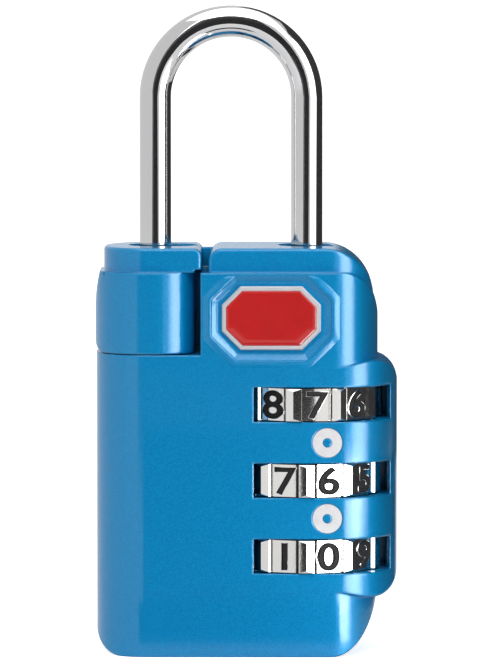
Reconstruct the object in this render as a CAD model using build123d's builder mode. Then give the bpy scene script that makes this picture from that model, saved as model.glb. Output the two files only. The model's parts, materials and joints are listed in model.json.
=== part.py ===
from build123d import *
import math
import os

os.makedirs("parts", exist_ok=True)

# Frame: X to the right, the front faces -Y, Z up, origin at the bottom centre of the whole lock.

# outline of the body
body_left = -14.95
body_right = 13.1
body_front = -7.4
body_back = 5.6
body_nose = (4.46, 6.2)  # half axes of the right corners, seen from above
body_heel = (5.0, 6.0)  # the same for the left corners
body_bottom_left_radius = 2.6
foot_corner = (4.7, 7.6)  # half axes of the lower right corner, seen from the front
ledge_corner = (3.6, 4.6)  # the same for the corner under the ledge
ledge_z = 38.2
body_top = 40.6
neck_setback = 0.8
neck_left = -3.72
neck_right = 12.65
neck_nose = (4.3, 5.4)
neck_corner_radius = 5.0
edge_round = 0.35
parting_y = 3.9

# dial housing that swells to the right and to the back
housing_right = 15.06
housing_back = 8.2
housing_left = -4.2
housing_low = 5.9
housing_high = 29.4
housing_nose = (5.7, 7.6)
housing_round = 2.3

# shackle
bar_radius = 1.575
leg_y = -0.5
left_leg_x = -9.1
right_leg_x = 6.0
shackle_top = 64.5
toe_z = 34.6
toe_chamfer = 0.45
heel_chamfer = 0.35
long_leg_z = 4.9
toe_notch_z = 36.6
toe_notch_height = 1.9
toe_notch_depth = 0.85
ring_groove_z = 30.6
ring_groove_height = 0.6
ring_groove_radius = 1.25
leg_bore_radius = 1.65

# dials
dial_z = {"upper": 25.15, "middle": 17.6, "lower": 10.05}
dial_turn = {"upper": -10.0, "middle": 0.0, "lower": 0.0}  # outer pattern against the splines
digits = 10
facet_apothem = 7.1
rib_radius = 7.7
rib_width = 1.55
rib_shoulder = 7.42
groove_width = 0.28
groove_floor = 6.85
dial_height = 3.2
dial_bevel = 0.25
dial_bore = 3.82
dial_spline_radius = 4.3
dial_spline_width = 0.95
detent_groove = 0.56
detent_inner = 4.9
detent_outer = 6.3
slot_height = 3.45
slot_left = 0.76
slot_right = 14.3
dial_pocket_radius = 8.05

# clutch hubs
hub_radius = 3.72
hub_spline_radius = 4.2
hub_spline_width = 0.8
hub_rim_inner = 3.25
hub_rim_drop = 2.9
hub_tube_radius = 2.1
gate_width = 1.7
hub_pocket_radius = 4.35
hub_pocket_drop = 4.3

# release slider
slider_travel = 2.4
finger_top_drop = 3.3
finger_bottom_drop = 4.1
finger_width = 1.2
hook_top_drop = 2.0
hook_inner = 2.35
hook_outer = 3.05
comb_left = -3.0
comb_right = -2.4
comb_width = 2.6
comb_top = 28.1

# release block
block_left = -15.06
block_right = -5.13
block_low = 30.4
block_neck_left = -14.2
block_neck_right = -4.42
block_overhang_z = 38.5
notch_floor = 30.05
notch_right = -4.5
toe_slot_left = -11.73
toe_slot_right = -4.85
toe_slot_open = -1.5  # past the side of the block, so the lower slot is open towards the gap
toe_slot_width = 4.6
toe_slot_step = 38.5
toe_slot_inner_left = -10.95
toe_slot_floor = 34.0
tail_left = -9.2
tail_right = -6.6
tail_width = 2.8
tongue_y = (2.2, 3.2)
tongue_reach = 3.2
tongue_top = 40.2
foot_width = 4.2
foot_low = 26.3
foot_top = 28.0

# key cylinder
key_x = -9.4
key_y = -0.9
key_shell_radius = 3.3
key_shell_top = 18.5
key_plug_radius = 2.35
key_fit = 0.06
keyway_width = 0.9
keyway_depth = 3.4
wafer_z = [5.0, 7.6, 10.2, 12.8]
wafer_thickness = 0.6

# chambers inside the body
spring_floor = 1.3
ring_chamber_z = (29.2, 38.1)
ring_chamber_radius = 2.75
ring_radius = 2.4
mouth_radius = 2.8
mouth_depth = 0.8
comb_low = 5.95
foot_chamber_z = (26.0, 28.35)
foot_chamber_left = -12.0
comb_chamber_right = -2.05
comb_chamber_half = 1.6
slider_bore_radius = 1.1
slider_bore_depth = 3.6
slide_gap = 0.12
coupler_z = (26.9, 27.7)
coupler_width = 1.2
slider_spring_z = 23.3
key_floor = 1.2
catch_bore_end = -14.2
catch_bore_radius = 0.86
catch_radius = 0.8
catch_length = 2.3
cam_chamber_top = 20.9
cam_chamber_radius = 3.9
leaf_left = 10.85
leaf_right = 12.25
leaf_front = -4.4
leaf_back = 3.4
leaf_seat = 0.55
leaf_crown = 0.22
leaf_thickness = 0.18
block_heel = (5.05, 6.0)
block_nose = (3.9, 3.4)
block_neck_heel = (4.3, 5.4)
block_lean = 0.5
block_lean_z = 34.0
block_foot_round = 0.9
key_face = 0.15
drive_radius = 1.1
drive_width = 1.6
drive_top = 20.6
washer_z = 18.8
washer_radius = 2.9
washer_thickness = 0.4
wafer_width = 2.2
wafer_length = 4.0
cam_reach = 2.7
cam_hub_radius = 1.9
cam_tip_radius = 0.9
cam_thickness = 0.9

# badge, index rings and screws
badge_rim = 0.42
badge_thickness = 0.5
badge_fill = 0.2
badge_x = 2.5
badge_z = 33.75
badge_width = 9.8
badge_height = 6.3
badge_corner = 1.85
badge_moat = 1.1
badge_recess = 0.45
badge_slope = 58  # of the walls round the recess, from straight in
index_x = 8.06
index_z = {"upper": 21.38, "lower": 13.83}
index_outer = 1.45
index_inner = 0.48
index_depth = 0.25
screw_places = [(-0.9, 34.4), (-9.0, 23.9), (-3.2, 3.0), (7.0, 3.0)]
screw_radius = 0.8
screw_head_radius = 1.45
screw_reach = 1.6
screw_head_height = 0.8
screw_socket_radius = 0.7
screw_socket_depth = 0.45

seated = (Align.CENTER, Align.CENTER, Align.MIN)
runs_per_turn = 10
dial_axis = (right_leg_x, leg_y)
wall_back = parting_y
springs = {
    "catch": {
        "at": (catch_bore_end + 0.12, leg_y, toe_notch_z),
        "along": (1, 0, 0),
        "wire": 0.1,
        "radius": 0.5,
        "turns": 2,
        "length": 0.64,
    },
    "slider": {
        "at": (comb_left - 0.25, leg_y, slider_spring_z),
        "along": (-1, 0, 0),
        "wire": 0.16,
        "radius": 0.8,
        "turns": 6,
        "length": 5.6,
    },
    "shackle": {
        "at": (right_leg_x, leg_y, spring_floor + 0.25),
        "along": (0, 0, 1),
        "wire": 0.22,
        "radius": 1.15,
        "turns": 4,
        "length": 3.1,
    },
}


def block(x, y, z, mode=Mode.ADD):
    """A box between pairs of limits along X, Y and Z."""
    with Locations((x[0], y[0], z[0])):
        Box(x[1] - x[0], y[1] - y[0], z[1] - z[0], align=(Align.MIN,) * 3, mode=mode)


def post(x, y, z, radius, mode=Mode.ADD):
    """An upright cylinder between two heights."""
    with Locations((x, y, z[0])):
        Cylinder(radius, z[1] - z[0], align=seated, mode=mode)


def octagon(width, height, corner):
    """Corner points of a plate with cut corners, centred at the origin."""
    half_w, half_h = width / 2, height / 2
    return [
        (-half_w + corner, -half_h),
        (half_w - corner, -half_h),
        (half_w, -half_h + corner),
        (half_w, half_h - corner),
        (half_w - corner, half_h),
        (-half_w + corner, half_h),
        (-half_w, half_h - corner),
        (-half_w, -half_h + corner),
    ]


def span(low, high):
    return (low + high) / 2


def rounded_end(tip_x, square_x, front, back, axes):
    """Plan outline from square_x to tip_x, whose two corners are quarter ellipses."""
    side = math.copysign(1, tip_x - square_x)
    centre_x = tip_x - side * axes[0]
    Line((square_x, front), (centre_x, front))
    EllipticalCenterArc((centre_x, front + axes[1]), *axes, start_angle=270, arc_size=90 * side)
    Line((tip_x, front + axes[1]), (tip_x, back - axes[1]))
    far = 0 if side > 0 else 180
    EllipticalCenterArc((centre_x, back - axes[1]), *axes, start_angle=far, arc_size=90 * side)
    Line((centre_x, back), (square_x, back))


# lower body: plan outline cut by the front outline
with BuildPart() as main_mass:
    with BuildSketch(Plane.XY):
        with BuildLine():
            rounded_end(body_right, 0, body_front, body_back, body_nose)
            rounded_end(body_left, 0, body_front, body_back, body_heel)
        make_face()
    extrude(amount=ledge_z)
    with BuildSketch(Plane.XZ):
        with BuildLine():
            foot_x, foot_z = body_right - foot_corner[0], foot_corner[1]
            head_x, head_z = body_right - ledge_corner[0], ledge_z - ledge_corner[1]
            left_x = body_left + body_bottom_left_radius
            Line((left_x, 0), (foot_x, 0))
            EllipticalCenterArc((foot_x, foot_z), *foot_corner, start_angle=270, arc_size=90)
            Line((body_right, foot_z), (body_right, head_z))
            EllipticalCenterArc((head_x, head_z), *ledge_corner, start_angle=0, arc_size=90)
            Line((head_x, ledge_z), (body_left, ledge_z))
            Line((body_left, ledge_z), (body_left, body_bottom_left_radius))
            TangentArc((body_left, body_bottom_left_radius), (left_x, 0), tangent=(0, -1))
        make_face()
    extrude(amount=20, both=True, mode=Mode.INTERSECT)

# neck above the ledge
with BuildPart() as neck_mass:
    with BuildSketch(Plane.XY.offset(ledge_z - 6)):
        with BuildLine():
            rounded_end(neck_right, neck_left, body_front + neck_setback, body_back - neck_setback, neck_nose)
            Line((neck_left, body_front + neck_setback), (neck_left, body_back - neck_setback))
        make_face()
    extrude(amount=body_top - ledge_z + 6)
    with BuildSketch(Plane.XZ) as neck_front:
        with BuildLine():
            Polyline(
                (neck_left, ledge_z - 6),
                (neck_right, ledge_z - 6),
                (neck_right, body_top),
                (neck_left, body_top),
                close=True,
            )
        make_face()
        fillet(neck_front.vertices().group_by(Axis.Y)[-1].sort_by(Axis.X)[-1], neck_corner_radius)
        fillet(neck_front.vertices().group_by(Axis.Y)[-1].sort_by(Axis.X)[0], 1.3)
    extrude(amount=20, both=True, mode=Mode.INTERSECT)
    upright = neck_mass.edges().filter_by(Axis.Z).group_by(Axis.X)[0]
    fillet(upright + neck_mass.edges().group_by(Axis.Z)[-1].filter_by(Axis.X), edge_round)

# dial housing: flush with the front, swelling to the right and to the back
with BuildPart() as housing_mass:
    with BuildSketch(Plane.XY.offset(housing_low)) as housing_plan:
        with BuildLine():
            rounded_end(housing_right, housing_left, body_front, housing_back, housing_nose)
            Line((housing_left, body_front), (housing_left, housing_back))
        make_face()
        fillet(housing_plan.vertices().group_by(Axis.X)[0].sort_by(Axis.Y)[-1], 3.0)
    extrude(amount=housing_high - housing_low)
    with BuildSketch(Plane.XZ):
        with Locations((0, span(housing_low, housing_high))):
            RectangleRounded(2 * housing_right, housing_high - housing_low, housing_round)
    extrude(amount=20, both=True, mode=Mode.INTERSECT)
    with BuildSketch(Plane.YZ):
        with Locations((0, span(housing_low, housing_high))):
            RectangleRounded(2 * housing_back, housing_high - housing_low, housing_round)
    extrude(amount=20, both=True, mode=Mode.INTERSECT)

# the whole casting with its cavities, before it is parted into a shell and a cover
with BuildPart() as case:
    add(main_mass.part)
    with Locations((body_left - 1, 0, notch_floor)):
        Box(
            notch_right - body_left + 1,
            40,
            20,
            align=(Align.MIN, Align.CENTER, Align.MIN),
            mode=Mode.SUBTRACT,
        )
    add(neck_mass.part)
    add(housing_mass.part)
    # tongue that keys the release block to the body and closes the gap between them
    block((notch_right - tongue_reach, neck_left + 1), tongue_y, (notch_floor, tongue_top))
    # dial windows through the front and right corner, and the round pockets behind them
    for z in dial_z.values():
        low, high = z - slot_height / 2, z + slot_height / 2
        block((slot_left, slot_right), (body_front - 1, leg_y), (low, high), Mode.SUBTRACT)
        post(right_leg_x, leg_y, (low, high), dial_pocket_radius, Mode.SUBTRACT)
        dial_reach = (right_leg_x - dial_pocket_radius, right_leg_x + dial_pocket_radius)
        block(dial_reach, (leg_y, wall_back), (low, high), Mode.SUBTRACT)
        # room for the hub rim and for the finger that reaches under it
        pocket = (z - hub_pocket_drop, low)
        post(right_leg_x, leg_y, pocket, hub_pocket_radius, Mode.SUBTRACT)
        reach = (right_leg_x - hub_pocket_radius, right_leg_x + hub_pocket_radius)
        block(reach, (leg_y, wall_back), pocket, Mode.SUBTRACT)
        half = finger_width / 2 + 0.3
        block((comb_left, right_leg_x), (leg_y - half, leg_y + half), pocket, Mode.SUBTRACT)
        # seat of the leaf that clicks the dial from digit to digit
        block((leaf_left, leaf_right), (leaf_front, leaf_back), (low - leaf_seat, low), Mode.SUBTRACT)
    # bore of the long leg, the chamber of its retaining ring and the mouth at the top
    post(right_leg_x, leg_y, (spring_floor, body_top), leg_bore_radius, Mode.SUBTRACT)
    post(right_leg_x, leg_y, ring_chamber_z, ring_chamber_radius, Mode.SUBTRACT)
    reach = (right_leg_x - ring_chamber_radius, right_leg_x + ring_chamber_radius)
    block(reach, (leg_y, wall_back), ring_chamber_z, Mode.SUBTRACT)
    post(right_leg_x, leg_y, (body_top - mouth_depth, body_top + 1), mouth_radius, Mode.SUBTRACT)
    # chamber of the comb, chamber of the block's foot, and the slot that its tail slides in
    comb_side = comb_left - slider_travel - 0.35
    comb_room = (comb_low - 0.3, foot_chamber_z[1])
    comb_front = leg_y - comb_chamber_half
    block((comb_side, comb_chamber_right), (comb_front, wall_back), comb_room, Mode.SUBTRACT)
    foot_side = leg_y - foot_width / 2 - 0.2
    block((foot_chamber_left, comb_chamber_right), (foot_side, wall_back), foot_chamber_z, Mode.SUBTRACT)
    tail_slot = (tail_left - slider_travel - 0.15, tail_right + 0.2)
    half = tail_width / 2 + slide_gap
    block(tail_slot, (leg_y - half, leg_y + half), (foot_chamber_z[1], notch_floor), Mode.SUBTRACT)
    # bore of the slider spring
    with Locations(Plane(origin=(comb_side, leg_y, slider_spring_z), z_dir=(-1, 0, 0))):
        Cylinder(slider_bore_radius, slider_bore_depth, align=seated, mode=Mode.SUBTRACT)
    # bores of the key cylinder, and the space that its cam sweeps
    post(key_x, key_y, (0, key_floor), key_plug_radius + key_fit, Mode.SUBTRACT)
    post(key_x, key_y, (key_floor, key_shell_top), key_shell_radius + 0.02, Mode.SUBTRACT)
    post(key_x, key_y, (key_shell_top, cam_chamber_top), cam_chamber_radius, Mode.SUBTRACT)
    # recess of the badge, with a bevelled rim
    with BuildSketch(Plane.XZ.offset(-body_front)):
        with Locations((badge_x, badge_z)):
            mouth = (badge_width + 2 * badge_moat, badge_height + 2 * badge_moat, badge_corner + 0.6)
            Polygon(*octagon(*mouth), align=None)
    extrude(amount=-badge_recess, taper=badge_slope, mode=Mode.SUBTRACT)
    # seats of the two index rings
    for z in index_z.values():
        with BuildSketch(Plane.XZ.offset(-body_front)):
            with Locations((index_x, z)):
                Circle(index_outer + 0.02)
                Circle(index_inner - 0.02, mode=Mode.SUBTRACT)
        extrude(amount=-index_depth, mode=Mode.SUBTRACT)
    # holes of the cover screws
    for x, z in screw_places:
        with Locations(Plane(origin=(x, body_back, z), z_dir=(0, 1, 0))):
            head_room = (screw_head_radius + 0.1, screw_head_height + 0.1)
            CounterBoreHole(screw_radius + 0.05, *head_room, depth=body_back - screw_reach)

# front shell: everything in front of the parting plane
with BuildPart() as body_shell:
    add(case.part)
    split(bisect_by=Plane.XZ.offset(-parting_y), keep=Keep.TOP)
body_shell.part.label = "body_shell"

# back cover: closes the shell and carries the rear swell of the dial housing
with BuildPart() as back_cover:
    add(case.part)
    split(bisect_by=Plane.XZ.offset(-parting_y), keep=Keep.BOTTOM)
    hollow = (min(dial_z.values()) - slot_height / 2, max(dial_z.values()) + slot_height / 2)
    post(right_leg_x, leg_y, hollow, dial_pocket_radius, Mode.SUBTRACT)
back_cover.part.label = "back_cover"

# cover screws: pan heads with a six-sided socket
with BuildPart() as cover_screws:
    for x, z in screw_places:
        with Locations(Plane(origin=(x, body_back - 0.05, z), z_dir=(0, -1, 0))):
            Cylinder(screw_head_radius, screw_head_height, align=seated)
            Cylinder(screw_radius, body_back - screw_reach - 0.3, align=seated)
        with BuildSketch(Plane(origin=(x, body_back - 0.05, z), z_dir=(0, -1, 0))):
            RegularPolygon(screw_socket_radius, 6)
        extrude(amount=screw_socket_depth, mode=Mode.SUBTRACT)
cover_screws.part.label = "cover_screws"

# shackle: one bent bar, with the toe notched and the long leg grooved for its ring
arch_radius = (right_leg_x - left_leg_x) / 2
arch_z = shackle_top - bar_radius - arch_radius
with BuildPart() as shackle:
    with BuildLine(Plane.XZ.offset(-leg_y)) as bar_path:
        Line((left_leg_x, toe_z), (left_leg_x, arch_z))
        crown = (left_leg_x + arch_radius, arch_z + arch_radius)
        ThreePointArc((left_leg_x, arch_z), crown, (right_leg_x, arch_z))
        Line((right_leg_x, arch_z), (right_leg_x, long_leg_z))
    with BuildSketch(Plane(origin=(left_leg_x, leg_y, toe_z), z_dir=(0, 0, 1))):
        Circle(bar_radius)
    sweep(path=bar_path.wires()[0])
    chamfer(shackle.edges().filter_by(GeomType.CIRCLE).group_by(Axis.Z)[0], heel_chamfer)
    rounds = shackle.edges().filter_by(GeomType.CIRCLE)
    toe_rim = rounds.filter_by_position(Axis.Z, toe_z - 0.01, toe_z + 0.01)
    chamfer(toe_rim, toe_chamfer)
    notch = (toe_notch_z - toe_notch_height / 2, toe_notch_z + toe_notch_height / 2)
    edge = left_leg_x - bar_radius
    block((edge - 1, edge + toe_notch_depth), (leg_y - 3, leg_y + 3), notch, Mode.SUBTRACT)
    with BuildSketch(Plane.XY.offset(ring_groove_z)):
        with Locations(dial_axis):
            Circle(bar_radius + 1)
            Circle(ring_groove_radius, mode=Mode.SUBTRACT)
    extrude(amount=ring_groove_height, mode=Mode.SUBTRACT)
shackle.part.label = "shackle"

# retaining ring snapped into the groove of the long leg
with BuildPart() as retaining_ring:
    with BuildSketch(Plane.XY.offset(ring_groove_z + 0.03)):
        with Locations(dial_axis):
            Circle(ring_radius)
            Circle(ring_groove_radius + 0.03, mode=Mode.SUBTRACT)
        with Locations((right_leg_x, leg_y + ring_radius)):
            Rectangle(2.0, 2 * (ring_radius - 0.9), mode=Mode.SUBTRACT)
    extrude(amount=ring_groove_height - 0.06)
retaining_ring.part.label = "retaining_ring"

# dials: ten flats with a two-faced rib between each pair, splined inside
dials = {}
for name, z in dial_z.items():
    start = -90 + dial_turn[name]
    with BuildPart() as dial:
        with BuildSketch(Plane.XY.offset(z - dial_height / 2)):
            with Locations(dial_axis):
                RegularPolygon(facet_apothem, digits, major_radius=False, rotation=start)
                with PolarLocations(0, digits, start_angle=start):
                    Polygon(
                        (rib_shoulder - 1, -rib_width / 2),
                        (rib_shoulder, -rib_width / 2),
                        (rib_radius, 0),
                        (rib_shoulder, rib_width / 2),
                        (rib_shoulder - 1, rib_width / 2),
                        align=None,
                    )
                with PolarLocations(0, digits, start_angle=start):
                    for side in (-1, 1):
                        with Locations((groove_floor, side * (rib_width + groove_width) / 2)):
                            Rectangle(1, groove_width, align=(Align.MIN, Align.CENTER), mode=Mode.SUBTRACT)
        extrude(amount=dial_height)
        # bevelled rims
        with BuildSketch(Plane.XZ.offset(-leg_y)):
            with Locations((right_leg_x, z)):
                Rectangle(rib_radius + 0.1, dial_height, align=(Align.MIN, Align.CENTER))
            outer = right_leg_x + rib_radius
            for rim in (z - dial_height / 2, z + dial_height / 2):
                inward = math.copysign(1, z - rim)
                Polygon(
                    (outer - dial_bevel, rim),
                    (outer + 0.2, rim),
                    (outer + 0.2, rim + inward * (dial_bevel + 0.2)),
                    align=None,
                    mode=Mode.SUBTRACT,
                )
        revolve(axis=Axis((right_leg_x, leg_y, 0), (0, 0, 1)), mode=Mode.INTERSECT)
        # splined bore, turned to the digit that is set
        with BuildSketch(Plane.XY.offset(z - dial_height / 2)):
            with Locations(dial_axis):
                Circle(dial_bore)
                with PolarLocations(0, digits, start_angle=180):
                    Rectangle(dial_spline_radius, dial_spline_width, align=(Align.MIN, Align.CENTER))
        extrude(amount=dial_height, mode=Mode.SUBTRACT)
        # V grooves under the dial that the leaf clicks into
        with Locations((right_leg_x, leg_y, z - dial_height / 2)):
            with PolarLocations(span(detent_inner, detent_outer), digits, start_angle=0):
                groove = (detent_outer - detent_inner, detent_groove, detent_groove)
                Box(*groove, rotation=(45, 0, 0), mode=Mode.SUBTRACT)
    dials[name] = dial
    dial.part.label = f"dial_{name}"

# hubs: splined sleeve over a rim that is open at one digit only
hubs = {}
for name, z in dial_z.items():
    with BuildPart() as hub:
        with BuildSketch(Plane.XY.offset(z - dial_height / 2)):
            with Locations(dial_axis):
                Circle(hub_radius)
                with PolarLocations(0, digits // 2, start_angle=180):
                    Rectangle(hub_spline_radius, hub_spline_width, align=(Align.MIN, Align.CENTER))
        extrude(amount=dial_height)
        with BuildSketch(Plane.XY.offset(z - hub_rim_drop)):
            with Locations(dial_axis):
                Circle(hub_radius)
                Circle(hub_rim_inner, mode=Mode.SUBTRACT)
                Circle(hub_tube_radius)
        extrude(amount=hub_rim_drop - dial_height / 2)
        gate = (z - hub_rim_drop, z - dial_height / 2)
        half = gate_width / 2
        through = (right_leg_x - hub_radius - 1, right_leg_x - hub_rim_inner + 0.3)
        block(through, (leg_y - half, leg_y + half), gate, Mode.SUBTRACT)
        post(right_leg_x, leg_y, (z - hub_rim_drop, z + dial_height / 2), leg_bore_radius, Mode.SUBTRACT)
    hubs[name] = hub
    hub.part.label = f"hub_{name}"

# leaves: bowed strips that click each dial
leaves = {}
for name, z in dial_z.items():
    seat = z - slot_height / 2 - leaf_seat + leaf_thickness / 2 + 0.01
    rise = z - slot_height / 2 - 0.06
    with BuildPart() as leaf:
        with BuildSketch(Plane.YZ.offset(leaf_left + 0.1)):
            with BuildLine():
                Polyline((leaf_front + 0.2, seat), (leaf_front + 1.2, seat), (leg_y - 0.35, rise))
                ThreePointArc((leg_y - 0.35, rise), (leg_y, rise + leaf_crown), (leg_y + 0.35, rise))
                Polyline((leg_y + 0.35, rise), (leaf_back - 1.2, seat), (leaf_back - 0.2, seat))
                offset(amount=leaf_thickness / 2)
            make_face()
        extrude(amount=leaf_right - leaf_left - 0.2)
    leaves[name] = leaf
    leaf.part.label = f"detent_leaf_{name}"

# comb: an upright plate with a hooked finger under every hub
with BuildPart() as locking_comb:
    block((comb_left, comb_right), (leg_y - comb_width / 2, leg_y + comb_width / 2), (comb_low, comb_top))
    half = finger_width / 2
    for z in dial_z.values():
        arm = (z - finger_bottom_drop, z - finger_top_drop)
        block((comb_right, right_leg_x - hook_inner), (leg_y - half, leg_y + half), arm)
        hook = (right_leg_x - hook_outer, right_leg_x - hook_inner)
        block(hook, (leg_y - half, leg_y + half), (z - finger_top_drop, z - hook_top_drop))
    half = coupler_width / 2 + 0.05
    eye = (coupler_z[0] - 0.05, coupler_z[1] + 0.05)
    block((comb_left, comb_right), (leg_y - half, leg_y + half), eye, Mode.SUBTRACT)
    fillet(locking_comb.edges().filter_by(Axis.X).group_by(Axis.Z)[-1], 0.6)
locking_comb.part.label = "locking_comb"

# coupler: joins the comb to the foot of the release block
with BuildPart() as coupler:
    half = coupler_width / 2
    block((tail_left + 1.0, comb_right + 0.25), (leg_y - half, leg_y + half), coupler_z)
    head_half = half + 0.5
    block((comb_left - 0.65, comb_left - 0.05), (leg_y - head_half, leg_y + head_half), coupler_z)
coupler.part.label = "coupler"

# neck of the release block, level with the neck of the body
with BuildPart() as block_neck_mass:
    with BuildSketch(Plane.XY.offset(ledge_z - 1)):
        front, back = body_front + neck_setback, body_back - neck_setback
        with BuildLine():
            rounded_end(block_neck_left, block_neck_right, front, back, block_neck_heel)
            Line((block_neck_right, front), (block_neck_right, back))
        make_face()
    extrude(amount=body_top - ledge_z + 1)
    with BuildSketch(Plane.XZ) as block_neck_front:
        with BuildLine():
            Polyline(
                (block_neck_left, ledge_z - 1),
                (block_neck_right, ledge_z - 1),
                (block_neck_right, body_top),
                (block_neck_left, body_top),
                close=True,
            )
        make_face()
        fillet(block_neck_front.vertices().group_by(Axis.Y)[-1].sort_by(Axis.X)[-1], 0.8)
    extrude(amount=20, both=True, mode=Mode.INTERSECT)
    upright = block_neck_mass.edges().filter_by(Axis.Z).group_by(Axis.X)[-1]
    fillet(upright + block_neck_mass.edges().group_by(Axis.Z)[-1].filter_by(Axis.X), edge_round)
    # step under the overhang on the side of the gap
    block((block_right, block_right + 3), (-20, 20), (ledge_z - 2, block_overhang_z), Mode.SUBTRACT)

# release block: rides on the floor of the notch, slotted for the toe of the shackle
with BuildPart() as release_block:
    with BuildSketch(Plane.XY.offset(block_low)):
        with BuildLine():
            middle = block_right - block_nose[0] - 0.5
            rounded_end(block_right, middle, body_front, body_back, block_nose)
            rounded_end(block_left, middle, body_front, body_back, block_heel)
        make_face()
    extrude(amount=ledge_z - block_low)
    with BuildSketch(Plane.XZ):
        with BuildLine():
            Line((block_left + block_foot_round, block_low), (block_right, block_low))
            Line((block_right, block_low), (block_right, ledge_z))
            Line((block_right, ledge_z), (block_left + block_lean, ledge_z))
            TangentArc((block_left, block_lean_z), (block_left + block_lean, ledge_z), tangent=(0, 1))
            Line((block_left, block_lean_z), (block_left, block_low + block_foot_round))
            TangentArc(
                (block_left, block_low + block_foot_round),
                (block_left + block_foot_round, block_low),
                tangent=(0, -1),
            )
        make_face()
    extrude(amount=20, both=True, mode=Mode.INTERSECT)
    add(block_neck_mass.part)
    # slot for the toe: wide above, close round the toe on its left below
    with BuildSketch(Plane.XY.offset(toe_slot_step)):
        with Locations((span(toe_slot_left, toe_slot_right), leg_y)):
            SlotOverall(toe_slot_right - toe_slot_left, toe_slot_width)
    extrude(amount=body_top - toe_slot_step, mode=Mode.SUBTRACT)
    with BuildSketch(Plane.XY.offset(toe_slot_floor)):
        with Locations((span(toe_slot_inner_left, toe_slot_open), leg_y)):
            SlotOverall(toe_slot_open - toe_slot_inner_left, toe_slot_width - 0.6)
    extrude(amount=toe_slot_step - toe_slot_floor, mode=Mode.SUBTRACT)
    # groove for the body's tongue
    groove = (tongue_y[0] - slide_gap, tongue_y[1] + slide_gap)
    groove_x = (notch_right - tongue_reach - 0.3, block_neck_right + 1)
    block(groove_x, groove, (block_low - 1, tongue_top + slide_gap), Mode.SUBTRACT)
    # tail and foot that hold the block down and draw the comb
    half = tail_width / 2
    block((tail_left, tail_right), (leg_y - half, leg_y + half), (foot_top, block_low))
    half = foot_width / 2
    block((tail_left, tail_right), (leg_y - half, leg_y + half), (foot_low, foot_top))
    half = coupler_width / 2 + 0.05
    eye = (coupler_z[0] - 0.05, coupler_z[1] + 0.05)
    block((tail_left + 0.9, tail_right), (leg_y - half, leg_y + half), eye, Mode.SUBTRACT)
    # bore of the catch bolt
    with Locations(Plane(origin=(catch_bore_end, leg_y, toe_notch_z), z_dir=(1, 0, 0))):
        Cylinder(
            catch_bore_radius,
            toe_slot_left + 2 - catch_bore_end,
            align=seated,
            mode=Mode.SUBTRACT,
        )
release_block.part.label = "release_block"

# catch bolt: sloped nose, so that the toe can push it back when the shackle is shut
catch_tip = toe_slot_inner_left - 0.05
with BuildPart() as catch_bolt:
    with Locations(Plane(origin=(catch_tip - catch_length, leg_y, toe_notch_z), z_dir=(1, 0, 0))):
        Cylinder(catch_radius, catch_length, align=seated)
    with BuildSketch(Plane.XZ):
        Polygon(
            (catch_tip - 0.75, toe_notch_z + catch_radius + 0.1),
            (catch_tip + 0.1, toe_notch_z + catch_radius + 0.1),
            (catch_tip + 0.1, toe_notch_z - 0.15),
            align=None,
        )
    extrude(amount=5, both=True, mode=Mode.SUBTRACT)
catch_bolt.part.label = "catch_bolt"

# coil springs: each turn of the wire is ten short runs
coils = {}
for name, spec in springs.items():
    upright = Plane(origin=spec["at"], z_dir=spec["along"])
    steps = runs_per_turn * spec["turns"]
    points = []
    for step in range(steps + 1):
        angle = 2 * math.pi * step / runs_per_turn
        x, y = spec["radius"] * math.cos(angle), spec["radius"] * math.sin(angle)
        points.append(upright.from_local_coords((x, y, spec["length"] * step / steps)))
    with BuildPart() as spring:
        with BuildLine():
            turn = Polyline(*points)
        with BuildSketch(Plane(origin=turn @ 0, z_dir=turn % 0)):
            RegularPolygon(spec["wire"], 6)
        sweep(path=turn, transition=Transition.RIGHT)
    coils[name] = spring
    spring.part.label = f"{name}_spring"

# key cylinder: fixed sleeve, turning plug, four wafers, washer and cam
with BuildPart() as key_sleeve:
    post(key_x, key_y, (key_floor, key_shell_top), key_shell_radius)
    post(key_x, key_y, (key_floor, key_shell_top), key_plug_radius + key_fit, Mode.SUBTRACT)
    chamfer(key_sleeve.edges().group_by(Axis.Z)[-1], 0.2)
key_sleeve.part.label = "key_sleeve"

with BuildPart() as key_plug:
    post(key_x, key_y, (key_face, key_shell_top), key_plug_radius)
    chamfer(key_plug.edges().group_by(Axis.Z)[0], 0.15)
    with BuildSketch(Plane.XY.offset(key_shell_top)):
        with Locations((key_x, key_y)):
            Circle(drive_radius)
            Rectangle(2 * drive_radius, drive_width, mode=Mode.INTERSECT)
    extrude(amount=drive_top - key_shell_top)
    with BuildSketch(Plane.XY.offset(key_face)):
        with Locations((key_x, key_y)):
            Rectangle(keyway_width, keyway_depth)
            with Locations((keyway_width / 2, -keyway_depth / 4)):
                Rectangle(0.5, 0.6)
    extrude(amount=15, mode=Mode.SUBTRACT)
    for z in wafer_z:
        high = z + wafer_thickness + 0.1
        wafer_x = (key_x - wafer_width / 2 - 0.04, key_x + wafer_width / 2 + 0.04)
        wafer_y = (key_y - wafer_length / 2 - 0.04, key_y + wafer_length / 2 + 0.04)
        block(wafer_x, wafer_y, (z, high), Mode.SUBTRACT)
key_plug.part.label = "key_plug"

with BuildPart() as key_wafers:
    for z in wafer_z:
        with BuildSketch(Plane.XY.offset(z + 0.05)):
            with Locations((key_x, key_y)):
                Rectangle(wafer_width, wafer_length)
                Rectangle(keyway_width, keyway_depth - 0.8, mode=Mode.SUBTRACT)
        extrude(amount=wafer_thickness)
key_wafers.part.label = "key_wafers"

with BuildPart() as plug_washer:
    with BuildSketch(Plane.XY.offset(washer_z)):
        with Locations((key_x, key_y)):
            Circle(washer_radius)
            Circle(drive_radius + 0.04, mode=Mode.SUBTRACT)
    extrude(amount=washer_thickness)
plug_washer.part.label = "plug_washer"

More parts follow.
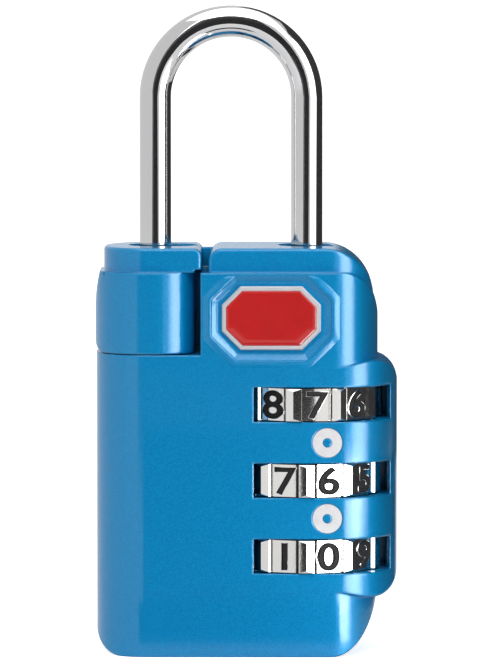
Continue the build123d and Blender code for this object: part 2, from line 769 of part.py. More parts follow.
with BuildSketch() as cam_hole:
    Circle(drive_radius + 0.04)
    Rectangle(2 * drive_radius + 0.1, drive_width + 0.08, mode=Mode.INTERSECT)

with BuildPart() as key_cam:
    with BuildSketch(Plane.XY.offset(washer_z + washer_thickness + 0.05)):
        with Locations((key_x, key_y)):
            Circle(cam_hub_radius)
        with Locations((key_x, key_y + cam_reach)):
            Circle(cam_tip_radius)
        make_hull()
        with Locations((key_x, key_y)):
            add(cam_hole.sketch, mode=Mode.SUBTRACT)
    extrude(amount=cam_thickness)
key_cam.part.label = "key_cam"

# badge plate with a raised rim, and the enamel that fills it
with BuildPart() as badge_plate:
    with BuildSketch(Plane.XZ.offset(-body_front - badge_recess)):
        with Locations((badge_x, badge_z)):
            Polygon(*octagon(badge_width, badge_height, badge_corner), align=None)
    extrude(amount=badge_thickness)
    rim = badge_plate.edges().group_by(Axis.Y)[0]
    chamfer(rim, 0.12)
    with BuildSketch(Plane.XZ.offset(-body_front - badge_recess + badge_thickness)):
        with Locations((badge_x, badge_z)):
            inside = (badge_width - 2 * badge_rim, badge_height - 2 * badge_rim, badge_corner - 0.23)
            Polygon(*octagon(*inside), align=None)
    extrude(amount=-badge_fill, mode=Mode.SUBTRACT)
badge_plate.part.label = "badge_plate"

with BuildPart() as badge_enamel:
    with BuildSketch(Plane.XZ.offset(-body_front - badge_recess + badge_thickness - badge_fill)):
        with Locations((badge_x, badge_z)):
            inset = 2 * badge_rim + 0.04
            Polygon(*octagon(badge_width - inset, badge_height - inset, badge_corner - 0.24), align=None)
    extrude(amount=badge_fill - 0.02)
badge_enamel.part.label = "badge_enamel"

# index rings between the dials
rings = {}
for name, z in index_z.items():
    with BuildPart() as ring:
        with BuildSketch(Plane.XZ.offset(-body_front - index_depth)):
            with Locations((index_x, z)):
                Circle(index_outer)
                Circle(index_inner, mode=Mode.SUBTRACT)
        extrude(amount=index_depth)
    rings[name] = ring
    ring.part.label = f"index_ring_{name}"

finished = [body_shell, back_cover, cover_screws, shackle, retaining_ring, locking_comb, coupler]
finished += [release_block, catch_bolt, key_sleeve, key_plug, key_wafers, plug_washer, key_cam]
finished += [badge_plate, badge_enamel]
for family in (dials, hubs, leaves, coils, rings):
    finished += family.values()
for piece in finished:
    export_step(piece.part, f"parts/{piece.part.label}.step")
    print(piece.part.label, round(piece.part.volume, 2), len(piece.part.solids()), piece.part.is_valid)
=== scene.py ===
import json
import math
import bmesh
import bpy
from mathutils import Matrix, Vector
from mathutils.bvhtree import BVHTree


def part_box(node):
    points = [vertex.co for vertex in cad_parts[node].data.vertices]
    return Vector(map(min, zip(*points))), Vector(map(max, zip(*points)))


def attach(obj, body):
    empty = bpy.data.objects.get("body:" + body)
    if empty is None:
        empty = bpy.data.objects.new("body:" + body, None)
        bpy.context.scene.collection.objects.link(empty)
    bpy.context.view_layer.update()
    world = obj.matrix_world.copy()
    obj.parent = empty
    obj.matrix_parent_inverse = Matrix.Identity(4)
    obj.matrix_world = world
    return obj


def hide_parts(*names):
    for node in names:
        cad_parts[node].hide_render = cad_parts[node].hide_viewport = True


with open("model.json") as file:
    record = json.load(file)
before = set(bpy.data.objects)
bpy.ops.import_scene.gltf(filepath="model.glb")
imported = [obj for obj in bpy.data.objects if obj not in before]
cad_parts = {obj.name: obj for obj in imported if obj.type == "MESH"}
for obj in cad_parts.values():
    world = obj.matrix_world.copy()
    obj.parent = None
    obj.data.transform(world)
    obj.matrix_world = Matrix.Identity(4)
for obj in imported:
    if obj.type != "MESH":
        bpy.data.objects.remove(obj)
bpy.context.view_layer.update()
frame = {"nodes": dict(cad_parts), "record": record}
nodes = frame["nodes"]
bodies = frame["record"]["behaviour"]["bodies"]
bodyOf = {node: body for body, members in bodies.items() for node in members}
slotOf = {part["node"]: part["material_slot"] for part in frame["record"]["subparts"]}
mm = 0.001
white = (1.0, 1.0, 1.0, 1.0)


def hexColour(text):
    # sRGB text as the linear colour that shaders take
    parts = [int(text[i:i + 2], 16) / 255 for i in (1, 3, 5)]
    return tuple(p / 12.92 if p <= 0.04045 else ((p + 0.055) / 1.055) ** 2.4 for p in parts) + (1.0,)


def addNode(tree, kind, inputs=None, **settings):
    # inputs: sockets to link, or values, by name or number
    node = tree.nodes.new(kind)
    for name, value in settings.items():
        setattr(node, name, value)
    for key, value in (inputs or {}).items():
        if isinstance(value, bpy.types.NodeSocket):
            tree.links.new(value, node.inputs[key])
        else:
            node.inputs[key].default_value = value
    return node


def calc(tree, operation, *values):
    return addNode(tree, "ShaderNodeMath", dict(enumerate(values)), operation=operation).outputs[0]


def vectorCalc(tree, operation, *values):
    # the second value of SCALE is its factor
    keys = (0, "Scale") if operation == "SCALE" else range(len(values))
    return addNode(tree, "ShaderNodeVectorMath", dict(zip(keys, values)), operation=operation).outputs[0]


def mixColour(tree, factor, low, high):
    mixed = addNode(tree, "ShaderNodeMix", {"Factor": factor, "A": low, "B": high}, data_type="RGBA")
    return mixed.outputs[2]


def newMaterial(name, **sockets):
    # sockets: Principled inputs by their names, with _ for a space
    material = bpy.data.materials.new(name)
    material.use_nodes = True
    shader = material.node_tree.nodes["Principled BSDF"]
    for key, value in sockets.items():
        shader.inputs[key.replace("_", " ")].default_value = value
    place = addNode(material.node_tree, "ShaderNodeTexCoord").outputs["Object"]
    return material, material.node_tree, shader, place


def addObject(name, data):
    thing = bpy.data.objects.new(name, data)
    bpy.context.scene.collection.objects.link(thing)
    return thing


def meshObject(name, mesh, finish):
    data = bpy.data.meshes.new(name)
    mesh.to_mesh(data)
    mesh.free()
    data.materials.append(finish)
    return addObject(name, data)


lacquer = {
    "deep": "#037BB4",  # between the flakes
    "bright": "#068CC3",  # where flakes lie flat
    "paintedShade": "#043F5E",  # painted shade: the dark colour the base turns to in seams and corners, wherever the AO node finds little open sky
    "paintedShadeReach": 1.1 * mm,
    "paintedShadeShare": (0.1, 0.55),  # of open sky: at the first all painted shade colour, at the second none
    "flakeSize": 0.09 * mm,  # real flakes are 0.03 mm, drawn coarser so that they show
    "flakeTilt": 0.06,
    "peelSize": 1.4 * mm,  # slow ripple of sprayed lacquer
    "peelDepth": 0.002 * mm,
    "metallic": 0.12,
    "roughness": 0.5,
    "coat": 0.75,
    "coatRoughness": 0.15,
    "refraction": 1.5,
    "edgeRound": 0.32 * mm,  # what the tumbled casting and its lacquer leave on every edge
    "samples": 8,
}


def makeLacquer():
    # metallic blue stoving lacquer over a zinc casting: deep blue with fine sparkle under a clear gloss coat
    material, tree, shader, place = newMaterial(
        "metallicLacquerSprayed",
        Metallic=lacquer["metallic"],
        Roughness=lacquer["roughness"],
        IOR=lacquer["refraction"],
        Specular_IOR_Level=0.0,  # the clear coat on top does the shining
        Coat_Weight=lacquer["coat"],
        Coat_Roughness=lacquer["coatRoughness"],
        Coat_IOR=lacquer["refraction"],
    )
    flakes = addNode(tree, "ShaderNodeTexVoronoi", {"Vector": place, "Scale": 1 / lacquer["flakeSize"]})
    shade = addNode(tree, "ShaderNodeSeparateColor", {"Color": flakes.outputs["Color"]}).outputs["Red"]
    tint = mixColour(tree, shade, hexColour(lacquer["deep"]), hexColour(lacquer["bright"]))
    # painted shade: where the AO node finds little open sky, the base colour is mixed towards the dark
    # painted shade colour
    openness = addNode(tree, "ShaderNodeAmbientOcclusion", {
        "Distance": lacquer["paintedShadeReach"],
    }, samples=lacquer["samples"])
    closed, aired = lacquer["paintedShadeShare"]
    light = addNode(tree, "ShaderNodeMapRange", {
        "Value": openness.outputs["AO"], "From Min": closed, "From Max": aired,
    })
    shaded = mixColour(tree, light.outputs[0], hexColour(lacquer["paintedShade"]), tint)
    tree.links.new(shaded, shader.inputs["Base Color"])
    soft = addNode(tree, "ShaderNodeBevel", {"Radius": lacquer["edgeRound"]}, samples=lacquer["samples"])
    lean = vectorCalc(tree, "ADD", flakes.outputs["Color"], (-0.5, -0.5, -0.5))
    tilt = vectorCalc(tree, "SCALE", lean, lacquer["flakeTilt"])
    flakeNormal = vectorCalc(tree, "NORMALIZE", vectorCalc(tree, "ADD", soft.outputs[0], tilt))
    tree.links.new(flakeNormal, shader.inputs["Normal"])
    ripple = addNode(tree, "ShaderNodeTexNoise", {
        "Vector": place, "Scale": 1 / lacquer["peelSize"], "Detail": 2.0,
    })
    peel = addNode(tree, "ShaderNodeBump", {
        "Height": ripple.outputs["Fac"], "Distance": lacquer["peelDepth"], "Normal": soft.outputs[0],
    })
    tree.links.new(peel.outputs["Normal"], shader.inputs["Coat Normal"])
    return material


plating = {
    "polished": 0.7,  # of the stated roughness, where the polish took best
    "clouded": 1.35,  # and where it took least
    "dialCrown": 0.3,  # how far the shading of a dial's flats leans towards its round
}


def makePlated(name, colour, roughness, grain, grainDepth, metallic=1.0):
    # plated metal: the noise is the soft unevenness that polishing leaves, on roughness and a shallow bump
    material, tree, shader, place = newMaterial(
        name, Base_Color=hexColour(colour), Metallic=metallic, Roughness=roughness)
    noise = addNode(tree, "ShaderNodeTexNoise", {"Vector": place, "Scale": 1 / grain, "Detail": 3.0})
    spread = addNode(tree, "ShaderNodeMapRange", {
        "Value": noise.outputs["Fac"],
        "To Min": roughness * plating["polished"],
        "To Max": roughness * plating["clouded"],
    })
    tree.links.new(spread.outputs[0], shader.inputs["Roughness"])
    bump = addNode(tree, "ShaderNodeBump", {"Height": noise.outputs["Fac"], "Distance": grainDepth})
    tree.links.new(bump.outputs["Normal"], shader.inputs["Normal"])
    return material


def crown(material, axis, share):
    # leans the flats of a turned part towards its round, as barrel polishing does: reflections sweep across
    tree = material.node_tree
    place = addNode(tree, "ShaderNodeTexCoord").outputs["Object"]
    outward = vectorCalc(tree, "SUBTRACT", place, (axis.x, axis.y, 0.0))
    level = vectorCalc(tree, "MULTIPLY", outward, (1.0, 1.0, 0.0))
    turned = addNode(tree, "ShaderNodeVectorTransform", {0: level},
                     vector_type="NORMAL", convert_from="OBJECT", convert_to="WORLD")
    unit = vectorCalc(tree, "NORMALIZE", turned.outputs[0])
    face = addNode(tree, "ShaderNodeNewGeometry").outputs["Normal"]
    # 4, 5 and 1 are the vector sockets of a Mix node
    blend = addNode(tree, "ShaderNodeMix", {"Factor": share, 4: face, 5: unit}, data_type="VECTOR")
    tree.links.new(blend.outputs[1], tree.nodes["Bump"].inputs["Normal"])


coating = {
    "shades": (0.88, 1.1),  # darkest and lightest drift of one coat
    "coatRoughness": 0.03,
    "refraction": 1.5,
}


def makeCoated(name, colour, roughness, grain, coat, shine=0.5):
    # paint or cast resin: one colour with a slow drift in shade, under its own gloss
    material, tree, shader, place = newMaterial(
        name,
        Roughness=roughness,
        IOR=coating["refraction"],
        Specular_IOR_Level=shine,
        Coat_Weight=coat,
        Coat_Roughness=coating["coatRoughness"],
    )
    noise = addNode(tree, "ShaderNodeTexNoise", {"Vector": place, "Scale": 1 / grain, "Detail": 2.0})
    low, high = [tuple(c * k for c in hexColour(colour)[:3]) + (1.0,) for k in coating["shades"]]
    tree.links.new(mixColour(tree, noise.outputs["Fac"], low, high), shader.inputs["Base Color"])
    return material


finishes = {
    "body_paint": makeLacquer(),
    # nickel and chrome over a drawn steel bar: a clear mirror, greyer than silver
    "shackle_chrome": makePlated("brightChromePlate", "#C0C0C1", 0.05, 0.8 * mm, 0.0004 * mm),
    # chrome over die-cast zinc: mirror with the faint swirl of a barrel polish
    "dial_chrome": makePlated("barrelPolishedChrome", "#C4C3C1", 0.08, 0.3 * mm, 0.003 * mm),
    # turned brass, left bare: yellow with a satin spread
    "hub_brass": makePlated("turnedBrass", "#D6B05E", 0.28, 0.3 * mm, 0.002 * mm),
    "key_brass": makePlated("satinBrass", "#D2AC5C", 0.24, 0.3 * mm, 0.002 * mm),
    # zinc-plated stampings and screws: cool grey, a little clouded
    "plated_steel": makePlated("zincPlatedSteel", "#B9BCC0", 0.3, 0.4 * mm, 0.003 * mm),
    # drawn spring wire and strip: darker, oiled
    "spring_steel": makePlated("drawnSpringSteel", "#8F9194", 0.3, 0.2 * mm, 0.002 * mm),
    # satin anodised aluminium of the badge: pale from every side, with no clear reflections
    "badge_metal": makePlated("satinAnodisedAluminium", "#BFBFC4", 0.42, 0.2 * mm, 0.002 * mm, 0.25),
    # poured red epoxy: saturated, glassy
    "badge_enamel": makeCoated("pouredRedResin", "#CF2424", 0.14, 1.5 * mm, 0.0),
    # white index paint pressed into its groove: half matt
    "index_white": makeCoated("whiteIndexPaint", "#F3F2F4", 0.35, 0.6 * mm, 0.3),
}
dialLow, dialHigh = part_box("dial_upper")
crown(finishes["dial_chrome"], (dialLow + dialHigh) / 2, plating["dialCrown"])
digitInk = makeCoated("blackFillPaint", "#161516", 0.75, 0.3 * mm, 0.0, shine=0.2)
for name, node in nodes.items():
    node.data.materials.clear()
    node.data.materials.append(finishes[slotOf[name]])
print("finishes made:", len(finishes) + 1)

skinning = {
    "castings": ("body_shell", "back_cover", "release_block", "shackle", "badge_plate"),
    "smoothBelow": math.radians(26),  # angle between two facets of one curved wall
    "weld": 0.0005 * mm,
    "flatWeight": 80,  # how strongly large faces keep their own direction
}
blockSeat = {
    "neckFoot": 37.2 * mm,  # raised to the ledge, so that the neck doesn't run down the block's round corner
    "ledge": 38.2 * mm,
    "sole": 30.4 * mm,
    "soleRound": 0.9 * mm,
    "drop": 0.25 * mm,  # the block sits down on the notch with a hair of a seam
    "near": 0.01 * mm,
    "weld": 0.001 * mm,
}


def seatBlock(mesh):
    for vertex in mesh.verts:
        above = vertex.co.z - blockSeat["sole"]
        if abs(vertex.co.z - blockSeat["neckFoot"]) < blockSeat["near"]:
            vertex.co.z = blockSeat["ledge"]
        elif -blockSeat["near"] < above < blockSeat["soleRound"]:
            vertex.co.z -= blockSeat["drop"] * (1 - max(above, 0.0) / blockSeat["soleRound"])
    bmesh.ops.remove_doubles(mesh, verts=mesh.verts, dist=blockSeat["weld"])
    bmesh.ops.dissolve_degenerate(mesh, dist=blockSeat["weld"], edges=mesh.edges)


def softened(name):
    # the node's mesh merged, so that its curved walls shade as one surface while its flats stay flat
    copy = nodes[name].copy()
    copy.data = nodes[name].data.copy()
    copy.name = name + "Skin"
    bpy.context.scene.collection.objects.link(copy)
    mesh = bmesh.new()
    mesh.from_mesh(copy.data)
    bmesh.ops.remove_doubles(mesh, verts=mesh.verts, dist=skinning["weld"])
    if name == "release_block":
        seatBlock(mesh)
    for face in mesh.faces:
        face.smooth = True
    for edge in mesh.edges:
        edge.smooth = len(edge.link_faces) == 2 and edge.calc_face_angle(0.0) < skinning["smoothBelow"]
    mesh.to_mesh(copy.data)
    mesh.free()
    return copy


for name in skinning["castings"]:
    skin = softened(name)
    weighted = skin.modifiers.new("flatStaysFlat", "WEIGHTED_NORMAL")
    weighted.keep_sharp = True
    weighted.weight = skinning["flatWeight"]
    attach(skin, bodyOf[name])
    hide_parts(name)
print("castings softened:", ", ".join(skinning["castings"]))

numerals = {
    "flats": 10,
    "size": 3.75 * mm,  # type size; a figure is 0.7 of it tall
    "pitch": 0.5,  # from one built-in figure to the next, in type sizes
    "middle": 0.345,  # from a figure's foot to its middle, in type sizes
    "widening": 1.26,
    "depth": 0.07 * mm,  # how thick the paint is
    "stroke": 0.08 * mm,  # what the pressed-in paint adds round the type
    "edge": 0.12 * mm,  # bright burr round each figure
    "edgeSink": 1.15,  # of the burr's width: how deep its middle lies
    "edgeSides": 8,
    "radius": 7.09 * mm,  # from the dial's axis to the paint's foot, just inside the flat
    "weld": 0.0005 * mm,
    "dials": {  # angle of one flat of each dial, and the figure on it
        "upper": (-82.0, 7),
        "middle": (-72.0, 6),
        "lower": (-72.0, 0),
    },
}


figureInputs = {
    "Centre": "Vector",
    "Radius": "Float",
    "Type Size": "Float",
    "Widening": "Float",
    "Depth": "Float",
    "Start Angle": "Float",
    "First Figure": "Int",
    "Stroke": "Float",
    "Edge": "Float",
    "Ink": "Material",
    "Metal": "Material",
}


def axes(tree, **parts):
    return addNode(tree, "ShaderNodeCombineXYZ", parts).outputs[0]


def joined(tree, *parts):
    whole = addNode(tree, "GeometryNodeJoinGeometry")
    for part in parts:
        tree.links.new(part, whole.inputs[0])
    return whole.outputs[0]


def swept(tree, outlines, section):
    # a section carried along the outlines of the figures
    return addNode(tree, "GeometryNodeCurveToMesh", {"Curve": outlines, "Profile Curve": section}).outputs[0]


def figurePlaces(tree, given):
    # a point for each flat round the upright axis, and its figure, which falls by one at each flat
    index = addNode(tree, "GeometryNodeInputIndex").outputs[0]
    turn = calc(tree, "MULTIPLY_ADD", index, math.tau / numerals["flats"], given["Start Angle"])
    cosine = calc(tree, "COSINE", turn)
    sine = calc(tree, "SINE", turn)
    count = calc(tree, "SUBTRACT", given["First Figure"], index)
    figure = calc(tree, "FLOORED_MODULO", count, numerals["flats"])
    outward = axes(tree, X=cosine, Y=sine)
    sideways = axes(tree, X=calc(tree, "MULTIPLY", sine, -1.0), Y=cosine)
    # the built-in figures stand in one row, so each is moved back to its own middle
    place = calc(tree, "MULTIPLY_ADD", figure, -numerals["pitch"], -numerals["pitch"] / 2)
    shift = calc(tree, "MULTIPLY", calc(tree, "MULTIPLY", place, given["Type Size"]), given["Widening"])
    drop = calc(tree, "MULTIPLY", given["Type Size"], -numerals["middle"])
    spot = given["Centre"]
    for move in (
        vectorCalc(tree, "SCALE", outward, given["Radius"]),
        vectorCalc(tree, "SCALE", sideways, shift),
        axes(tree, Z=drop),
    ):
        spot = vectorCalc(tree, "ADD", spot, move)
    points = addNode(tree, "GeometryNodePoints", {"Count": numerals["flats"], "Position": spot})
    facing = addNode(tree, "FunctionNodeAxesToRotation", {
        "Primary Axis": outward, "Secondary Axis": sideways,
    })
    return points.outputs[0], facing.outputs[0], figure


def inkedFigures(tree, given, outlines, placed):
    # raised paint: the filled type, closed at its back, and a band along its outlines
    filled = addNode(tree, "GeometryNodeFillCurve", {"Curve": outlines})
    plain = placed(filled.outputs[0])
    raised = addNode(tree, "GeometryNodeExtrudeMesh", {
        "Mesh": plain, "Offset Scale": given["Depth"], "Individual": False,
    })
    under = addNode(tree, "GeometryNodeFlipFaces", {0: plain})
    welded = addNode(tree, "GeometryNodeMergeByDistance", {
        "Geometry": joined(tree, raised.outputs["Mesh"], under.outputs[0]), "Distance": numerals["weld"],
    })
    section = addNode(tree, "GeometryNodeCurvePrimitiveQuadrilateral", {
        "Width": calc(tree, "MULTIPLY", given["Stroke"], 2.0),
        "Height": calc(tree, "MULTIPLY", given["Depth"], 2.0),
    })
    band = placed(swept(tree, outlines, section.outputs[0]))
    inked = joined(tree, welded.outputs[0], band)
    return addNode(tree, "GeometryNodeSetMaterial", {"Geometry": inked, "Material": given["Ink"]}).outputs[0]


def brightBurr(tree, given, outlines, placed):
    # a round edge along the outlines, sunk in the flat: the section's own Y points into the flat
    section = addNode(tree, "GeometryNodeCurvePrimitiveCircle", {
        "Resolution": numerals["edgeSides"], "Radius": calc(tree, "ADD", given["Stroke"], given["Edge"]),
    })
    depth = calc(tree, "MULTIPLY", given["Edge"], numerals["edgeSink"])
    sunk = addNode(tree, "GeometryNodeTransform", {
        "Geometry": section.outputs["Curve"], "Translation": axes(tree, Y=depth),
    })
    burr = placed(swept(tree, outlines, sunk.outputs[0]))
    return addNode(tree, "GeometryNodeSetMaterial", {"Geometry": burr, "Material": given["Metal"]}).outputs[0]


def figureRing():
    # the ten figures of one dial, as a geometry tree
    tree = bpy.data.node_groups.new("figureRing", "GeometryNodeTree")
    tree.is_modifier = True
    for name, kind in figureInputs.items():
        tree.interface.new_socket(name, in_out="INPUT", socket_type="NodeSocket" + kind)
    tree.interface.new_socket("Geometry", in_out="OUTPUT", socket_type="NodeSocketGeometry")
    given = addNode(tree, "NodeGroupInput").outputs
    points, facing, figure = figurePlaces(tree, given)
    wide = axes(tree, X=given["Widening"], Y=1.0, Z=1.0)
    text = addNode(tree, "GeometryNodeStringToCurves", {"String": "0123456789", "Size": given["Type Size"]})
    outlines = text.outputs["Curve Instances"]

    def placed(source):
        # each figure set on its own flat
        face = addNode(tree, "GeometryNodeInstanceOnPoints", {
            "Points": points,
            "Instance": source,
            "Pick Instance": True,
            "Instance Index": figure,
            "Rotation": facing,
            "Scale": wide,
        })
        return addNode(tree, "GeometryNodeRealizeInstances", {0: face.outputs[0]}).outputs[0]

    black = inkedFigures(tree, given, outlines, placed)
    bright = brightBurr(tree, given, outlines, placed)
    addNode(tree, "NodeGroupOutput", {0: joined(tree, black, bright)})
    return tree


def grown(name, tree, **values):
    # runs a geometry tree on an empty mesh and keeps the result as a plain mesh object
    host = addObject(name, bpy.data.meshes.new(name))
    modifier = host.modifiers.new("tree", "NODES")
    modifier.node_group = tree
    for item in tree.interface.items_tree:
        if item.in_out == "INPUT":
            modifier[item.identifier] = values[item.name]
    result = bpy.data.meshes.new_from_object(host.evaluated_get(bpy.context.evaluated_depsgraph_get()))
    host.modifiers.clear()
    host.data = result
    return host


figureTree = figureRing()
for name, (angle, figure) in numerals["dials"].items():
    low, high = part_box("dial_" + name)
    ring = grown("figures_" + name, figureTree, **{
        "Centre": (low + high) / 2,
        "Radius": numerals["radius"],
        "Type Size": numerals["size"],
        "Widening": numerals["widening"],
        "Depth": numerals["depth"],
        "Start Angle": math.radians(angle),
        "First Figure": figure,
        "Stroke": numerals["stroke"],
        "Edge": numerals["edge"],
        "Ink": digitInk,
        "Metal": finishes["dial_chrome"],
    })
    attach(ring, "dial_" + name)
print("figures set:", len(numerals["dials"]), "rings")

resin = {
    "rise": 0.14 * mm,  # the dome's height over the face of the CAD resin
    "tipRise": 1.02,  # of the rise, at the very middle
    "shoulder": 0.7 * mm,  # width of the rounded border
    "rings": 8,
    "corner": 0.35 * mm,
    "cornerSteps": 4,
    "near": 0.005 * mm,
    "decimals": 5,  # of a metre: corners that agree so far are one corner
}


def roundedOutline(points, radius, steps):
    # the outline with each corner replaced by an arc
    outline = []
    for i, corner in enumerate(points):
        back = (points[i - 1] - corner).normalized()
        ahead = (points[(i + 1) % len(points)] - corner).normalized()
        half = back.angle(ahead) / 2
        start = corner + back * (radius / math.tan(half))
        end = corner + ahead * (radius / math.tan(half))
        centre = corner + (back + ahead).normalized() * (radius / math.sin(half))
        fromCentre = (start - centre).normalized()
        toEnd = (end - centre).normalized()
        for step in range(steps + 1):
            outline.append(centre + radius * fromCentre.slerp(toEnd, step / steps))
    return outline


def resinCorners(low, high):
    # corners of the CAD resin's face, in order round its middle
    middle = (low + high) / 2
    front = [v.co for v in nodes["badge_enamel"].data.vertices if v.co.y < low.y + resin["near"]]
    spots = {(round(v.x, resin["decimals"]), round(v.z, resin["decimals"])) for v in front}
    around = sorted(spots, key=lambda spot: math.atan2(spot[1] - middle.z, spot[0] - middle.x))
    return [Vector((x - middle.x, 0.0, z - middle.z)) for x, z in around]


def domedResin():
    low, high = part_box("badge_enamel")
    middle = (low + high) / 2
    outline = roundedOutline(resinCorners(low, high), resin["corner"], resin["cornerSteps"])
    mesh = bmesh.new()

    def ringAt(y, size):
        return [mesh.verts.new((p.x * size + middle.x, y, p.z * size + middle.z)) for p in outline]

    rings = [ringAt(high.y, 1.0), ringAt(low.y, 1.0)]
    reach = min(high.x - low.x, high.z - low.z) / 2
    for ring in range(1, resin["rings"] + 1):
        # a quarter round over the shoulder, then nearly flat to the middle
        share = math.pi / 2 * ring / resin["rings"]
        size = 1 - resin["shoulder"] / reach * (1 - math.cos(share))
        rings.append(ringAt(low.y - resin["rise"] * math.sin(share), size))
    tip = mesh.verts.new((middle.x, low.y - resin["rise"] * resin["tipRise"], middle.z))
    for a, b in zip(rings, rings[1:]):
        for i in range(len(outline)):
            j = (i + 1) % len(outline)
            mesh.faces.new((a[i], a[j], b[j], b[i]))
    for i in range(len(outline)):
        mesh.faces.new((rings[-1][i], rings[-1][(i + 1) % len(outline)], tip))
    back = mesh.faces.new(rings[0])
    bmesh.ops.recalc_face_normals(mesh, faces=mesh.faces)
    for face in mesh.faces:
        face.smooth = face != back
    return meshObject("badgeResin", mesh, finishes["badge_enamel"])


dome = domedResin()
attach(dome, "body")
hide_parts("badge_enamel")
print("badge resin poured")

lip = {  # raised border that the casting has round the badge's recess
    "reach": (6.0 * mm, 4.25 * mm, 7.8 * mm),  # recess from its middle: sideways, upwards, both at a corner
    "top": 4.3 * mm,  # over the middle, where the ledge begins
    "fadeBelowTop": 1.2 * mm,
    "width": 0.9 * mm,
    "height": 0.2 * mm,
    "footShare": 0.4,  # how much of the height is left at the foot
    "sink": 0.012 * mm,
    "back": 0.15 * mm,
    "steps": 6,
    # inner side, up to the crest: distance from the recess's edge and share of the height
    "rise": [(-0.12 * mm, 0.0), (-0.05 * mm, 0.65), (0.0, 0.85), (0.06 * mm, 0.97)],
    "fallSteps": 8,
    "sightFrom": -20 * mm,  # in front of the casting
}


def lipProfile():
    # the rise, then one smooth fall to the outer edge
    crest, tall = lip["rise"][-1]
    fall = []
    for step in range(1, lip["fallSteps"] + 1):
        share = step / lip["fallSteps"]
        fall.append((crest + share * (lip["width"] - crest), tall * (1 - share * share * (3 - 2 * share))))
    return lip["rise"] + fall


def lipRun(away):
    # the border's line at this distance from the recess's edge: right half from the ledge down, then mirrored
    side, rise, corner = (size + away for size in lip["reach"])
    corner += away * (math.sqrt(2) - 1)
    turns = [
        (corner - lip["top"], lip["top"]),
        (side, corner - side),
        (side, side - corner),
        (corner - rise, -rise),
    ]
    turns += [(-x, z) for x, z in reversed(turns)]
    points = [turns[0]]
    for (x0, z0), (x1, z1) in zip(turns, turns[1:]):
        for step in range(1, lip["steps"] + 1):
            share = step / lip["steps"]
            points.append((x0 + (x1 - x0) * share, z0 + (z1 - z0) * share))
    return points


def lipLift(z, share):
    # how far the border stands over the casting at this height; a share of None is its back inside the wall
    if share is None:
        return -lip["back"]
    fade = min(1.0, max(0.0, (lip["top"] - z) / lip["fadeBelowTop"]))
    climb = min(1.0, max(0.0, (z + lip["top"]) / lip["top"]))
    foot = lip["footShare"] + (1 - lip["footShare"]) * climb
    return lip["height"] * fade * foot * share - lip["sink"]


def raisedLip():
    low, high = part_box("badge_plate")
    middle = (low + high) / 2
    source = nodes["body_shell"].data
    corners = [v.co for v in source.vertices]
    casting = BVHTree.FromPolygons(corners, [face.vertices for face in source.polygons])
    profile = lipProfile()
    inner = profile[0][0]
    mesh = bmesh.new()
    columns = []
    for away, share in profile + [(lip["width"], None), (inner, None)]:
        column = []
        for x, z in lipRun(away):
            place = Vector((middle.x + x, lip["sightFrom"], middle.z + z))
            wall = casting.ray_cast(place, Vector((0.0, 1.0, 0.0)))[0].y
            column.append(mesh.verts.new((place.x, wall - lipLift(z, share), place.z)))
        columns.append(column)
    for a, b in zip(columns, columns[1:] + columns[:1]):
        for i in range(len(a) - 1):
            mesh.faces.new((a[i], b[i], b[i + 1], a[i + 1]))
    for end in (0, -1):
        mesh.faces.new([column[end] for column in columns])
    bmesh.ops.recalc_face_normals(mesh, faces=mesh.faces)
    for face in mesh.faces:
        face.smooth = True
    return meshObject("badgeLip", mesh, finishes["body_paint"])


border = raisedLip()
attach(border, "body")
print("badge border raised")

studio = {
    "floorColour": "#ECECEC",
    "floorFibre": "#F2F2F2",
    "fibreSize": 2 * mm,
    "floorHalf": 3.0,
    "floorGlow": 0.5,  # not seen by matt surfaces, so that the lit floor reads as white without lighting them
    "floorLift": 0.25,  # on top, seen by the camera alone
    "ambient": 0.54,  # what the surroundings give to matt surfaces
    "background": 1.0,  # and what camera and mirrors see of them
    "flagColour": "#434345",
    "paleFlagColour": "#9A9A9C",
    "clothRoughness": 0.95,
}


def seenDirectly(tree):
    # 1 for camera, mirror and glass rays, so that metal shows the same white surroundings
    paths = addNode(tree, "ShaderNodeLightPath").outputs
    opaque = calc(tree, "MAXIMUM", paths["Is Camera Ray"], paths["Is Glossy Ray"])
    return calc(tree, "MAXIMUM", opaque, paths["Is Transmission Ray"])


def studioWorld():
    world = bpy.data.worlds.new("studioWorld")
    world.use_nodes = True
    tree = world.node_tree
    level = addNode(tree, "ShaderNodeMapRange", {
        "Value": seenDirectly(tree), "To Min": studio["ambient"], "To Max": studio["background"],
    })
    backdrop = tree.nodes["Background"]
    backdrop.inputs["Color"].default_value = white
    tree.links.new(level.outputs[0], backdrop.inputs["Strength"])
    return world


def studioPaper():
    material, tree, shader, place = newMaterial("studioPaper", Roughness=0.9, Specular_IOR_Level=0.2)
    fibre = addNode(tree, "ShaderNodeTexNoise", {
        "Vector": place, "Scale": 1 / studio["fibreSize"], "Detail": 3.0,
    })
    tone = mixColour(tree, fibre.outputs["Fac"],
                     hexColour(studio["floorColour"]), hexColour(studio["floorFibre"]))
    tree.links.new(tone, shader.inputs["Base Color"])
    shader.inputs["Emission Color"].default_value = white
    glow = calc(tree, "MULTIPLY", seenDirectly(tree), studio["floorGlow"])
    camera = addNode(tree, "ShaderNodeLightPath").outputs["Is Camera Ray"]
    lift = calc(tree, "MULTIPLY_ADD", camera, studio["floorLift"], glow)
    tree.links.new(lift, shader.inputs["Emission Strength"])
    return material


def flagCloth(name, colour):
    return newMaterial(name, Base_Color=hexColour(colour), Roughness=studio["clothRoughness"])[0]


def stageCard(name, corners, material):
    data = bpy.data.meshes.new(name)
    data.from_pydata([tuple(c) for c in corners], [], [(0, 1, 2, 3)])
    data.materials.append(material)
    card = addObject(name, data)
    return card


